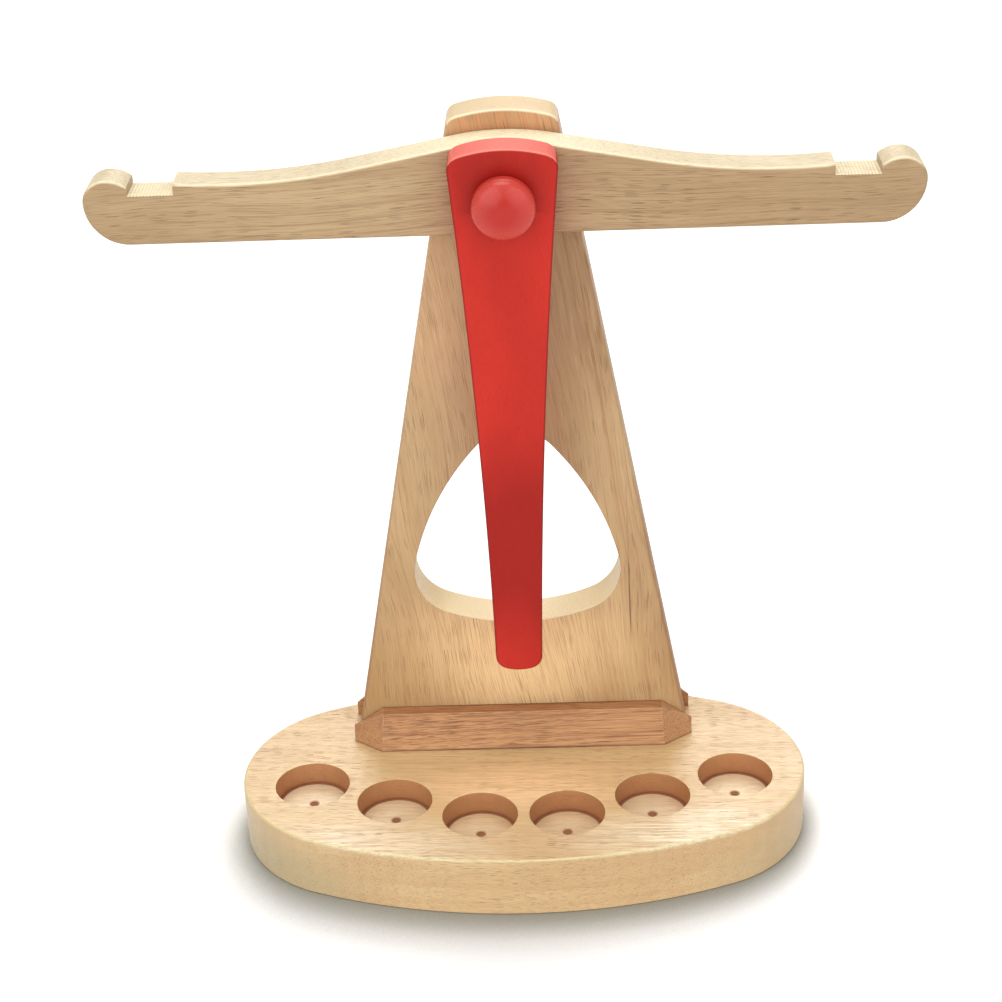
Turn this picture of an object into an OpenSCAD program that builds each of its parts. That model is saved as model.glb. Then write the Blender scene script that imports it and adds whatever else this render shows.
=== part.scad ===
/* [Base board] */
// Length of the oval base board
base_w = 200; // [180:1:240]
// Depth of the base board, front to back
base_d = 110; // [104:1:130]
// Thickness of the base board
base_t = 22.5; // [19:0.5:30]
// Radius of the two rounded ends of the oval
base_end_r = 44; // [38:0.5:48]

/* [Weight pits] */
// Diameter of each round pit that holds a weight
pit_d = 26.2; // [18:0.2:27]
// Depth of each pit
pit_depth = 8.2; // [4:0.2:10]
// Diameter of the dimple that the drill's point leaves in each pit
dimple_d = 2.8; // [1:0.1:4]
// Depth of that dimple
dimple_depth = 1.6; // [0.5:0.1:3]
// Distance of the two inner pits from the middle of the board
pit_inner_x = 15.1; // [14.5:0.1:16]
// How far the inner pits lie in front of the middle
pit_inner_y = 27.9; // [24:0.1:32]
// Distance of the two middle pits from the middle of the board
pit_middle_x = 45.1; // [44.5:0.1:46]
// How far the middle pits lie in front of the middle
pit_middle_y = 18.6; // [15:0.1:22]
// Distance of the two outer pits from the middle of the board
pit_outer_x = 74.9; // [74.5:0.1:77]
// How far the outer pits lie in front of the middle
pit_outer_y = 7.5; // [3:0.1:10]

/* [Upright] */
// Width of the upright at its foot
upright_foot_w = 120.4; // [110:0.2:130]
// Width between the upright's slanted sides at the height of its top
upright_top_w = 34.2; // [30:0.2:44]
// Height of the upright above the base board
upright_h = 235.9; // [220:0.1:260]
// Thickness of the upright
upright_t = 15; // [12:0.5:17]
// Radius of the upright's arched top
upright_crown_r = 56; // [40:1:90]
// Radius of the two corners beside the arched top
upright_corner_r = 4.2; // [1:0.1:6]
// How far the upright's front face lies behind the middle of the board
upright_back = 22; // [16:0.5:24]

/* [Opening in the upright] */
// Width of the rounded triangular opening
opening_w = 72.6; // [60:0.2:76]
// Height of the opening
opening_h = 75.4; // [66:0.2:86]
// Height of the opening's lowest point above the foot of the upright
opening_rise = 47.6; // [42:0.2:56]
// Radius of the opening's three corners
opening_corner_r = 17; // [10:0.5:19]
// Radius of its two bowed sides
opening_side_r = 101; // [80:1:160]
// Radius of its bowed bottom
opening_bottom_r = 69; // [60:1:120]

/* [Cleats] */
// Length of each cleat along its foot
cleat_w = 123; // [116:0.5:130]
// Length of its front edge, between the cut corners
cleat_front_w = 102.4; // [94:0.2:108]
// Length of its flat top
cleat_flat_w = 101.4; // [90:0.2:110]
// Height of each cleat
cleat_h = 12.8; // [9:0.2:18]
// Height of the upright edge at each end
cleat_end_h = 5.4; // [2:0.2:7]
// Thickness of each cleat at its foot
cleat_foot_t = 10.3; // [9:0.1:12]
// Thickness of each cleat at its top
cleat_top_t = 5.2; // [4:0.1:7]
// Thickness that is left at the foot of each end
cleat_end_t = 2.7; // [1:0.1:5]
// Lean of the cut corners from upright, in degrees
cleat_corner_lean = 20; // [0:1:30]

/* [Beam] */
// Length of the beam over both rounded ends
beam_w = 266.8; // [262:0.2:300]
// Thickness of the beam, front to back
beam_t = 13.2; // [10:0.2:16]
// Depth of the beam below its pivot
beam_drop = 14.7; // [12:0.1:18]
// Height of the crown in the middle of the beam above its pivot
beam_crown_h = 16.1; // [14:0.1:18]
// Radius of that crown
beam_crown_r = 85; // [60:1:110]
// Height of the shallow valleys above the pivot
beam_valley_h = 4.8; // [3.6:0.1:6.5]
// Distance of the lowest point of each valley from the pivot
beam_valley_x = 88; // [82:0.5:94]
// Radius of the hollow of each valley
beam_valley_r = 216; // [180:1:240]
// Radius of the lower corner of each end
beam_end_r = 14.1; // [11:0.1:14.6]
// Radius of the outer side of each end knob
knob_r = 7.7; // [6:0.1:8]
// Radius of the flatter top of each knob, towards the notch
knob_top_r = 11; // [9:0.5:20]

/* [Hanging notches] */
// Distance from the beam's end to the notch
notch_end = 14.5; // [12:0.1:16]
// Width of each notch
notch_w = 14.7; // [10:0.1:18]
// Height of the notch's floor above the pivot
notch_floor_h = 1.85; // [0.5:0.05:2.5]
// Pitch of the fine grooves across the notch's floor
groove_pitch = 1.05; // [0.8:0.05:2]
// Depth of those grooves
groove_depth = 0.35; // [0.1:0.05:0.6]

/* [Pointer] */
// Thickness of the pointer
pointer_t = 11.9; // [8:0.1:14]
// Height of the pointer's top above the pivot
pointer_top_h = 17.5; // [15:0.1:22]
// Distance of its tip below the pivot
pointer_reach = 170.4; // [150:0.2:180]
// Width of the pointer at the height of the pivot
pointer_head_w = 32.8; // [30:0.2:40]
// Width between its sides at the height of the tip
pointer_tip_w = 15.8; // [12:0.2:24]
// Radius of the slightly hollow sides
pointer_side_r = 2600; // [1400:50:4000]
// Radius of the arched top
pointer_crown_r = 48; // [36:1:90]
// Radius of the arched tip
pointer_foot_r = 16; // [14:0.5:40]
// Radius of the four corners
pointer_corner_r = 5; // [2:0.1:5.5]

/* [Pivot] */
// Distance of the pivot below the upright's top
pivot_drop = 21.9; // [20:0.1:26]
// Diameter of the wooden axle
axle_d = 8; // [6:0.2:10]
// Radial clearance of the beam and pointer on the axle
axle_clearance = 0.06; // [0.02:0.01:0.1]
// Thickness of the washer between the upright and the beam
washer_t = 1.1; // [0.6:0.1:2]
// Outer diameter of the washer
washer_d = 20; // [14:0.5:26]
// Free gap between the washer and the beam
washer_gap = 0.4; // [0.2:0.05:0.8]

/* [End caps] */
// Diameter of the domed caps on the axle's ends
cap_d = 20; // [16:0.2:26]
// Thickness of a cap's rounded disc, without the dome on its face
cap_t = 9; // [8:0.1:11]
// Radius of the cap's rounded edge
cap_edge_r = 4; // [2:0.1:4]
// Height of the shallow dome on the cap's face
cap_dome_h = 0.8; // [0.2:0.1:1.5]
// Free gap between the front cap and the pointer
cap_gap = 0.4; // [0.2:0.05:0.8]
// Depth of the blind hole that takes the axle
cap_hole = 6; // [4:0.1:7]

/* [Dowels and screws] */
// Diameter of the two dowels that lock the pointer to the beam
dowel_d = 5; // [3:0.1:6]
// Length of those dowels
dowel_w = 15; // [10:0.5:16]
// Distance of each dowel from the pivot
dowel_x = 10; // [9:0.1:11]
// Free length left at the bottom of each blind hole
hole_spare = 0.5; // [0.2:0.1:1]
// Diameter of the two screws that hold the upright
screw_d = 4; // [3:0.1:5]
// Diameter of a screw's countersunk head
screw_head_d = 8; // [6:0.2:9]
// Length of a screw
screw_h = 50; // [40:1:60]
// Distance of each screw from the middle
screw_x = 30; // [24:0.5:40]
// Depth of the screw heads below the underside
screw_sunk = 0.8; // [0.2:0.1:2]
// Radial clearance of a screw's shank in the base board
screw_clearance = 0.3; // [0.1:0.05:0.5]
// Length of each slot of the cross in a screw's head
cross_w = 4.6; // [3:0.1:5]
// Width of those slots
cross_slot_w = 0.9; // [0.5:0.1:1.4]
// Depth of those slots
cross_depth = 1.3; // [0.5:0.1:1.6]

/* [Colours] */
// Pale varnished wood of the base board, the upright and the beam
pale_wood = "burlywood"; // [burlywood, tan, wheat]
// Darker wood of the cleats
dark_wood = "sienna"; // [sienna, peru, chocolate]
// Paint of the pointer and the caps
red_paint = "firebrick"; // [firebrick, crimson, brown]
// Bare wood of the axle, the dowels and the washer
bare_wood = "bisque"; // [bisque, tan, wheat]
// Metal of the screws
screw_metal = "silver"; // [silver, gray, goldenrod]

/* [Hidden] */
$fn = 96;
// Facets of the circles whose arcs make up the outlines, and of the largest one
arc_fn = 720;
large_arc_fn = 3600;
// How far every cut runs past the surface that it opens
over = 1;
// How much larger an arc's circle is than the one that touches its neighbours, to cross them
hair = 0.01;

// Oval of the base board: centres of its long arcs, which touch the arcs of the ends
base_end_x = base_w / 2 - base_end_r;
base_side_r = (pow(base_end_x, 2) + pow(base_d / 2, 2) - pow(base_end_r, 2))
    / (base_d - 2 * base_end_r);
base_side_y = base_side_r - base_d / 2;

// Places of the pits on the right, across and to the back
pit_places = [
    [pit_inner_x, -pit_inner_y],
    [pit_middle_x, -pit_middle_y],
    [pit_outer_x, -pit_outer_y]
];

// Heights, and the planes from the back of the upright to the front cap
pivot_z = base_t + upright_h - pivot_drop;
upright_rear_y = upright_back + upright_t;
upright_mid_y = upright_back + upright_t / 2;
washer_front_y = upright_back - washer_t;
beam_rear_y = washer_front_y - washer_gap;
beam_front_y = beam_rear_y - beam_t;
pointer_front_y = beam_front_y - pointer_t;
cap_rear_y = pointer_front_y - cap_gap;

// Sides of the upright, and the centre of its right top corner
upright_foot = [upright_foot_w / 2, 0];
upright_side = unit([(upright_top_w - upright_foot_w) / 2, upright_h]);
upright_crown = [0, upright_h - upright_crown_r];
upright_corner = line_reach(
    upright_foot + upright_corner_r * left_of(upright_side), upright_side,
    upright_crown, upright_crown_r - upright_corner_r
);

// Centres of the arcs of the opening, measured from the foot of the upright
opening_bottom = [0, opening_rise + opening_bottom_r];
opening_apex = [0, opening_rise + opening_h - opening_corner_r];
opening_corner_x = opening_w / 2 - opening_corner_r;
opening_corner = [
    opening_corner_x,
    opening_bottom[1] - sqrt(pow(opening_bottom_r - opening_corner_r, 2) - pow(opening_corner_x, 2))
];
opening_side_reach = opening_side_r - opening_corner_r;
opening_side = circle_meet(opening_corner, opening_side_reach, opening_apex, opening_side_reach);

// Direction of a cleat's cut corner, seen from above
cleat_corner_turn = atan2(cleat_foot_t - cleat_end_t, (cleat_w - cleat_front_w) / 2);

// Straight flank of the beam, which touches the circles of the crown and of the valley
beam_crown = [0, beam_crown_h - beam_crown_r];
beam_valley = [beam_valley_x, beam_valley_h + beam_valley_r];
crown_to_valley = beam_valley - beam_crown;
flank_turn = atan2(crown_to_valley[1], crown_to_valley[0])
    + acos((beam_crown_r + beam_valley_r) / norm(crown_to_valley));
flank_normal = [cos(flank_turn), sin(flank_turn)];
flank_top = beam_crown + beam_crown_r * flank_normal;
flank_foot = beam_valley - beam_valley_r * flank_normal;

// Ends of the beam and the notches beside them
beam_end = [beam_w / 2 - beam_end_r, beam_end_r - beam_drop];
knob = [beam_w / 2 - knob_r, beam_end[1]];
knob_top = [knob[0], knob[1] + knob_r - knob_top_r];
notch_out_x = beam_w / 2 - notch_end;
notch_in_x = notch_out_x - notch_w;
groove_count = round(notch_w / groove_pitch);
groove_step = notch_w / groove_count;

// Arcs of the pointer, measured from the pivot
pointer_crown = [0, pointer_top_h - pointer_crown_r];
pointer_foot = [0, pointer_foot_r - pointer_reach];
pointer_side = circle_meet(
    [pointer_head_w / 2, 0], pointer_side_r,
    [pointer_tip_w / 2, -pointer_reach], pointer_side_r
);
pointer_top_corner = circle_meet(
    pointer_crown, pointer_crown_r - pointer_corner_r,
    pointer_side, pointer_side_r + pointer_corner_r
);
pointer_tip_corner = circle_meet(
    pointer_side, pointer_side_r + pointer_corner_r,
    pointer_foot, pointer_foot_r - pointer_corner_r
);

// Points along the pointer's right side, from the height of its tip to that of its top
pointer_side_steps = 20;
pointer_side_points = [
    for (i = [0 : pointer_side_steps])
        let (
            length = pointer_reach + pointer_top_h + 2 * over,
            z = length * i / pointer_side_steps - pointer_reach - over,
            rise = z - pointer_side[1]
        )
        [pointer_side[0] - sqrt(pow(pointer_side_r, 2) - pow(rise, 2)), z]
];

// Bores, blind holes and the dome of a cap
running_bore_d = axle_d + 2 * axle_clearance;
axle_front_y = cap_rear_y - cap_hole + hole_spare;
axle_rear_y = upright_rear_y + cap_hole - hole_spare;
cap_flat_r = cap_d / 2 - cap_edge_r;
cap_dome_r = (pow(cap_flat_r, 2) + pow(cap_dome_h, 2)) / (2 * cap_dome_h);
screw_room_d = screw_d + 2 * screw_clearance;

// Vector of length one along a vector, and the same turned a quarter to the left
function unit(v) = v / norm(v);
function left_of(v) = [-v[1], v[0]];

// Direction of the way from one point to another, in degrees
function turn_to(from, to) = atan2(to[1] - from[1], to[0] - from[0]);

// Point at given distances from two points, on the left of the way from the first to the second
function circle_meet(p, p_reach, q, q_reach) =
    let (
        way = q - p,
        along = (pow(p_reach, 2) - pow(q_reach, 2) + pow(norm(way), 2)) / (2 * norm(way)),
        aside = sqrt(pow(p_reach, 2) - pow(along, 2))
    )
    p + along * unit(way) + aside * left_of(unit(way));

// Last point of the way from p in a direction that lies at a given distance from q
function line_reach(p, direction, q, reach) =
    let (
        back = (p - q) * direction,
        apart = pow(norm(p - q), 2) - pow(reach, 2)
    )
    p + (sqrt(pow(back, 2) - apart) - back) * direction;

// The same points on the other side of the middle, in the opposite order
function mirrored(points) = [for (i = [len(points) - 1 : -1 : 0]) [-points[i][0], points[i][1]]];

// Draws its children and their mirror image across the middle
module both_sides() {
    children();
    mirror([1, 0, 0]) children();
}

// Stands an outline that is drawn across and up between two planes of the depth
module plate(front_y, rear_y) {
    translate([0, rear_y, 0]) rotate([90, 0, 0]) linear_extrude(rear_y - front_y) children();
}

// Round bar along the depth, between two planes
module rod(d, front_y, rear_y) {
    translate([0, rear_y, 0]) rotate([90, 0, 0]) cylinder(d = d, h = rear_y - front_y);
}

// What a rounded corner loses outside its circle, between two directions
module corner_waste(centre, r, from_turn, to_turn) {
    reach = 3 * r;
    turns = [from_turn, (from_turn + to_turn) / 2, to_turn];
    translate(centre) difference() {
        polygon([[0, 0], for (turn = turns) reach * [cos(turn), sin(turn)]]);
        circle(r = r + hair, $fn = arc_fn);
    }
}

// What an arched top loses above its circle
module crown_waste(centre, r) {
    translate(centre) difference() {
        translate([-r, 0]) square([2 * r, r + 2 * over]);
        circle(r = r, $fn = arc_fn);
    }
}

// Oval of two long arcs between the arcs of the two ends
module base_outline() {
    turn = turn_to([0, -base_side_y], [base_end_x, 0]);
    difference() {
        intersection() {
            translate([0, -base_side_y]) circle(r = base_side_r, $fn = arc_fn);
            translate([0, base_side_y]) circle(r = base_side_r, $fn = arc_fn);
        }
        both_sides() corner_waste([base_end_x, 0], base_end_r, -turn, turn);
    }
}

// Flat pit with the mark of the drill's point
module pit() {
    translate([0, 0, base_t - pit_depth]) cylinder(d = pit_d, h = pit_depth + over);
    translate([0, 0, base_t - pit_depth - dimple_depth])
        cylinder(d1 = 0, d2 = dimple_d, h = dimple_depth);
}

// Countersunk hole for one screw in the base board
module screw_room() {
    taper = (screw_head_d - screw_room_d) / 2;
    translate([0, 0, -over]) cylinder(d = screw_head_d, h = screw_sunk + over);
    translate([0, 0, screw_sunk]) cylinder(d1 = screw_head_d, d2 = screw_room_d, h = taper);
    translate([0, 0, screw_sunk]) cylinder(d = screw_room_d, h = base_t);
}

// Screw without its cross, which is also the shape of its hole in the upright
module screw_blank() {
    taper = (screw_head_d - screw_d) / 2;
    translate([0, 0, screw_sunk]) {
        cylinder(d1 = screw_head_d, d2 = screw_d, h = taper);
        cylinder(d = screw_d, h = screw_h - screw_d);
        translate([0, 0, screw_h - screw_d]) cylinder(d1 = screw_d, d2 = 0, h = screw_d);
    }
}

module base_board() {
    color(pale_wood) difference() {
        linear_extrude(base_t) base_outline();
        for (place = pit_places) both_sides() translate(place) pit();
        both_sides() translate([screw_x, upright_mid_y, 0]) screw_room();
    }
}

// Triangle with bowed sides and round corners, of six arcs that touch each other
module opening_outline() {
    side_turn = turn_to(opening_side, opening_corner);
    apex_turn = turn_to(opening_side, opening_apex);
    bottom_turn = turn_to(opening_bottom, opening_corner);
    difference() {
        intersection() {
            translate(opening_bottom) circle(r = opening_bottom_r, $fn = arc_fn);
            translate(opening_side) circle(r = opening_side_r, $fn = arc_fn);
            mirror([1, 0]) translate(opening_side) circle(r = opening_side_r, $fn = arc_fn);
        }
        both_sides() corner_waste(opening_corner, opening_corner_r, bottom_turn, side_turn);
        corner_waste(opening_apex, opening_corner_r, apex_turn, 180 - apex_turn);
    }
}

module upright_outline() {
    top = upright_foot + (upright_h + over) / upright_side[1] * upright_side;
    side_turn = turn_to([0, 0], -left_of(upright_side));
    crown_turn = turn_to(upright_crown, upright_corner);
    difference() {
        polygon([each [upright_foot, top], each mirrored([upright_foot, top])]);
        crown_waste(upright_crown, upright_crown_r);
        both_sides() corner_waste(upright_corner, upright_corner_r, side_turn, crown_turn);
        opening_outline();
    }
}

module upright() {
    color(pale_wood) difference() {
        translate([0, 0, base_t]) plate(upright_back, upright_rear_y) upright_outline();
        translate([0, 0, pivot_z]) rod(axle_d, upright_back - over, upright_rear_y + over);
        both_sides() translate([screw_x, upright_mid_y, 0]) screw_blank();
    }
}

// Cleat in front of a plane through the origin, on the ground
module cleat() {
    foot = cleat_w / 2;
    flat = cleat_flat_w / 2;
    difference() {
        intersection() {
            plate(-cleat_foot_t, 0) polygon([
                [-foot, 0], [foot, 0], [foot, cleat_end_h],
                [flat, cleat_h], [-flat, cleat_h], [-foot, cleat_end_h]
            ]);
            translate([-foot, 0, 0]) rotate([90, 0, 90]) linear_extrude(cleat_w) polygon([
                [-cleat_foot_t, 0], [0, 0], [0, cleat_h], [-cleat_top_t, cleat_h]
            ]);
        }
        both_sides() translate([cleat_front_w / 2, -cleat_foot_t, 0])
            rotate([0, 0, cleat_corner_turn]) rotate([-cleat_corner_lean, 0, 0])
                translate([-foot, -cleat_w, -foot]) cube(cleat_w);
    }
}

module front_cleat() {
    color(dark_wood) translate([0, upright_back, base_t]) cleat();
}

module rear_cleat() {
    color(dark_wood) translate([0, upright_rear_y, base_t]) mirror([0, 1, 0]) cleat();
}

module upright_screws() {
    color(screw_metal) both_sides() translate([screw_x, upright_mid_y, 0]) difference() {
        screw_blank();
        for (turn = [0, 90]) rotate([0, 0, turn])
            translate([-cross_w / 2, -cross_slot_w / 2, screw_sunk - over])
                cube([cross_w, cross_slot_w, cross_depth + over]);
    }
}

module axle() {
    color(bare_wood) translate([0, 0, pivot_z]) rod(axle_d, axle_front_y, axle_rear_y);
}

module spacer_washer() {
    color(bare_wood) translate([0, 0, pivot_z]) difference() {
        rod(washer_d, washer_front_y, upright_back);
        rod(running_bore_d, washer_front_y - over, upright_back + over);
    }
}

// Half outline of a cap, from its axis to its rounded edge
module cap_outline() {
    square([cap_flat_r, cap_t]);
    translate([0, cap_edge_r]) square([cap_d / 2, cap_t - 2 * cap_edge_r]);
    for (z = [cap_edge_r, cap_t - cap_edge_r]) translate([cap_flat_r, z]) circle(r = cap_edge_r);
    intersection() {
        translate([0, cap_t + cap_dome_h - cap_dome_r]) circle(r = cap_dome_r, $fn = arc_fn);
        translate([0, cap_t]) square([cap_flat_r, cap_dome_h + over]);
    }
}

// Domed cap that lies on the ground, with a blind hole in its underside
module cap() {
    difference() {
        rotate_extrude() cap_outline();
        translate([0, 0, -over]) cylinder(d = axle_d, h = cap_hole + over);
    }
}

module front_cap() {
    color(red_paint) translate([0, cap_rear_y, pivot_z]) rotate([90, 0, 0]) cap();
}

module rear_cap() {
    color(red_paint) translate([0, upright_rear_y, pivot_z]) rotate([-90, 0, 0]) cap();
}

// Blind holes in the beam and the pointer for the dowels between them
module dowel_holes() {
    reach = dowel_w / 2 + hole_spare;
    both_sides() translate([dowel_x, 0, pivot_z])
        rod(dowel_d, beam_front_y - reach, beam_front_y + reach);
}

// Grooves that run from front to back in the floor of the right notch
module groove_outlines() {
    for (i = [0 : groove_count - 1]) translate([notch_in_x + i * groove_step, notch_floor_h])
        polygon([
            [0, 0],
            [groove_step / 2, -groove_depth],
            [groove_step, 0],
            [groove_step, over],
            [0, over]
        ]);
}

// Right half of the beam, measured from the pivot
module beam_half_outline() {
    intersection() {
        translate(beam_crown) circle(r = beam_crown_r + hair, $fn = arc_fn);
        translate([0, -beam_drop]) square([flank_foot[0], beam_drop + beam_crown_h + over]);
    }
    difference() {
        polygon([
            [flank_top[0], -beam_drop],
            [notch_in_x, -beam_drop],
            [notch_in_x, flank_foot[1]],
            flank_foot,
            flank_top
        ]);
        translate(beam_valley) circle(r = beam_valley_r + hair, $fn = large_arc_fn);
    }
    difference() {
        translate([notch_in_x, -beam_drop])
            square([beam_end[0] - notch_in_x, beam_drop + notch_floor_h]);
        groove_outlines();
    }
    intersection() {
        translate(beam_end) circle(r = beam_end_r);
        translate([beam_end[0], -beam_drop - over]) square(beam_end_r + over);
    }
    intersection() {
        translate(knob) circle(r = knob_r);
        translate(knob) square(knob_r + over);
    }
    intersection() {
        translate(knob_top) circle(r = knob_top_r);
        translate([notch_out_x, knob[1]]) square([knob[0] - notch_out_x, knob_r + over]);
    }
}

module beam() {
    color(pale_wood) difference() {
        translate([0, 0, pivot_z]) plate(beam_front_y, beam_rear_y)
            both_sides() beam_half_outline();
        translate([0, 0, pivot_z]) rod(running_bore_d, beam_front_y - over, beam_rear_y + over);
        dowel_holes();
    }
}

// Long tapered outline with arched ends, measured from the pivot
module pointer_outline() {
    top_turn = turn_to(pointer_crown, pointer_top_corner);
    tip_turn = turn_to(pointer_foot, pointer_tip_corner);
    top_side_turn = turn_to(pointer_top_corner, pointer_side);
    tip_side_turn = turn_to(pointer_tip_corner, pointer_side);
    difference() {
        polygon([each pointer_side_points, each mirrored(pointer_side_points)]);
        crown_waste(pointer_crown, pointer_crown_r);
        mirror([0, 1]) crown_waste(-pointer_foot, pointer_foot_r);
        both_sides() {
            corner_waste(pointer_top_corner, pointer_corner_r, top_side_turn, top_turn);
            corner_waste(pointer_tip_corner, pointer_corner_r, tip_turn, tip_side_turn);
        }
    }
}

module pointer() {
    color(red_paint) difference() {
        translate([0, 0, pivot_z]) plate(pointer_front_y, beam_front_y) pointer_outline();
        translate([0, 0, pivot_z]) rod(running_bore_d, pointer_front_y - over, beam_front_y + over);
        dowel_holes();
    }
}

module pointer_dowels() {
    color(bare_wood) both_sides() translate([dowel_x, 0, pivot_z])
        rod(dowel_d, beam_front_y - dowel_w / 2, beam_front_y + dowel_w / 2);
}

base_board();
upright();
front_cleat();
rear_cleat();
upright_screws();
axle();
spacer_washer();
front_cap();
rear_cap();
beam();
pointer();
pointer_dowels();
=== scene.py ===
# Wooden balance scale toy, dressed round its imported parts. All lengths are in metres.
import math

import bmesh
import bpy
from mathutils import Matrix, Vector


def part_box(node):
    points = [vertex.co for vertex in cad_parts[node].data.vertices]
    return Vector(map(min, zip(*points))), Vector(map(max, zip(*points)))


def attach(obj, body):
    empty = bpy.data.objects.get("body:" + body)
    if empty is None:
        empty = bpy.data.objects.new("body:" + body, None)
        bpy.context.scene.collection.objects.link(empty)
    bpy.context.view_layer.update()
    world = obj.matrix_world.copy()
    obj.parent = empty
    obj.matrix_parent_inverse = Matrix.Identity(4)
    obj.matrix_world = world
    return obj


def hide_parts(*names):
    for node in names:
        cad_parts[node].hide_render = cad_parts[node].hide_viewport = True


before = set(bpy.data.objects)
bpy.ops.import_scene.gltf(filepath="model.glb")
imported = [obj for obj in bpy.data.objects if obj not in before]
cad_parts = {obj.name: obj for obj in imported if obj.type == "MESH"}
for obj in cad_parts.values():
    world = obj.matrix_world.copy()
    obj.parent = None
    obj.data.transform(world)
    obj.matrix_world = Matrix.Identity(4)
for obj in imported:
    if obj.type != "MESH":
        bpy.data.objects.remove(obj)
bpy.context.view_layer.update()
print("stage: frame loaded")

tiny = 1e-6  # points closer than this are one point
quarter = math.pi / 2
sharpAngle = math.radians(38)  # edges bent more than this count as arrises
wearAndHighlightFrom, wearAndHighlightSpan = 0.25, 0.3  # upward slope from which arrises get wear and a painted highlight, and its range
holeSteps = 48  # sides of the axle's holes

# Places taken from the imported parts
baseLow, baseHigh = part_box("base_board")
uprightLow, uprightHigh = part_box("upright")
cleatLow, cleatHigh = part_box("front_cleat")
beamLow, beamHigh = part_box("beam")
pointerLow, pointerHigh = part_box("pointer")
capLow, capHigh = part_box("front_cap")
rearCapLow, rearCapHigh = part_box("rear_cap")
axleLow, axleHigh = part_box("axle")
screwLow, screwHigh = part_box("upright_screws")
pivot = (axleLow + axleHigh) / 2
axleRadius = (axleHigh.x - axleLow.x) / 2
swingRadius = axleRadius + 0.00006  # the hole of what turns on the axle


# Helpers for plane geometry, on vectors of two numbers

def leftOf(v):
    return Vector((-v.y, v.x))


def along(turn):
    return Vector((math.cos(turn), math.sin(turn)))


def turnTo(start, end):
    return math.atan2(end.y - start.y, end.x - start.x)


def circleMeet(p, pReach, q, qReach):
    # the point at both distances, left of the way from p to q
    way = q - p
    ahead = (pReach ** 2 - qReach ** 2 + way.length_squared) / (2 * way.length)
    aside = math.sqrt(pReach ** 2 - ahead ** 2)
    return p + way.normalized() * ahead + leftOf(way.normalized()) * aside


def lineReach(p, way, q, reach):
    # the last point from p along a unit way that lies at a distance from q
    back = (p - q).dot(way)
    return p + way * (math.sqrt(back ** 2 - (p - q).length_squared + reach ** 2) - back)


def onlyVerts(geometry):
    return [v for v in geometry if isinstance(v, bmesh.types.BMVert)]


def onlyEdges(geometry):
    return [e for e in geometry if isinstance(e, bmesh.types.BMEdge)]


class Pen:
    # draws an outline with lines and spun arcs, standing up at a depth or lying at a height
    def __init__(self, bm, start, depth=None, height=None):
        self.bm = bm
        self.depth = depth
        self.height = height
        self.axis = (0, -1, 0) if height is None else (0, 0, 1)
        self.tip = bm.verts.new(self.place(start))

    def place(self, point):
        if self.height is None:
            return Vector((point.x, self.depth, point.y))
        return Vector((point.x, point.y, self.height))

    def line(self, point):
        end = self.bm.verts.new(self.place(point))
        self.bm.edges.new((self.tip, end))
        self.tip = end

    def arc(self, centre, start, end, steps):
        spun = bmesh.ops.spin(
            self.bm, geom=[self.tip], cent=self.place(centre), axis=self.axis,
            dvec=(0, 0, 0), angle=end - start, steps=steps, use_merge=False,
            use_normal_flip=False, use_duplicate=False)
        self.tip = onlyVerts(spun["geom_last"])[0]


def mirrorHalf(bm):
    # completes a half that was drawn on the right
    geometry = bm.verts[:] + bm.edges[:]
    bmesh.ops.mirror(bm, geom=geometry, matrix=Matrix(), merge_dist=tiny, axis="X")
    bmesh.ops.remove_doubles(bm, verts=bm.verts[:], dist=tiny)


def addRing(bm, radius, segments, place, standing):
    # a circle of edges, standing across the depth or lying flat
    turn = Matrix.Rotation(quarter, 4, "X") if standing else Matrix()
    ring = bmesh.ops.create_circle(
        bm, cap_ends=False, radius=radius, segments=segments,
        matrix=Matrix.Translation(place) @ turn)
    return list({e for v in ring["verts"] for e in v.link_edges})


def makeBoard(bm, low, high, holeRadius):
    # completes a half outline, cuts the hole of the axle and gives the board its depth
    mirrorHalf(bm)
    addRing(bm, holeRadius, holeSteps, Vector((0, low.y, pivot.z)), True)
    bmesh.ops.triangle_fill(bm, use_beauty=True, use_dissolve=False, edges=bm.edges[:])
    grown = bmesh.ops.extrude_face_region(bm, geom=bm.faces[:])
    bmesh.ops.translate(bm, verts=onlyVerts(grown["geom"]), vec=(0, high.y - low.y, 0))
    bmesh.ops.recalc_face_normals(bm, faces=bm.faces[:])


def held(value):
    # keeps a value from 0 to 1
    return min(max(value, 0), 1)


def roundArrises(bm, radius, segments, wanted):
    # rounds the sharp edges that the test wants, and marks the upper roundings as worn and lit by
    # a painted highlight
    edges = [
        e for e in bm.edges
        if len(e.link_faces) == 2 and e.calc_face_angle() > sharpAngle and wanted(e)]
    isLater = "wearAndHighlight" in bm.verts.layers.float
    wearAndHighlight = bm.verts.layers.float["wearAndHighlight"] if isLater else bm.verts.layers.float.new("wearAndHighlight")
    rounded = bmesh.ops.bevel(
        bm, geom=edges, offset=radius, offset_type="OFFSET", segments=segments, profile=0.5,
        affect="EDGES", clamp_overlap=False, material=-1, loop_slide=False,
        face_strength_mode="AFFECTED" if isLater else "ALL")
    bm.normal_update()
    fresh = set(rounded["faces"])
    for v in rounded["verts"]:
        isInside = all(f in fresh for f in v.link_faces)
        v[wearAndHighlight] = held((v.normal.z - wearAndHighlightFrom) / wearAndHighlightSpan) if isInside else 0.0


def paintLightOnFaces(bm, strength):
    # marks painted light on the corners of faces by a function of (face, vertex) that may return
    # None
    paintedLight = bm.loops.layers.float.new("paintedLight")
    for face in bm.faces:
        for loop in face.loops:
            value = strength(face, loop.vert)
            if value is not None:
                loop[paintedLight] = value


def middle(edge):
    return (edge.verts[0].co + edge.verts[1].co) / 2


def keepsDepth(edge):
    # true along the front and back of a board, false across its thickness
    return abs(edge.verts[0].co.y - edge.verts[1].co.y) < tiny


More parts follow.
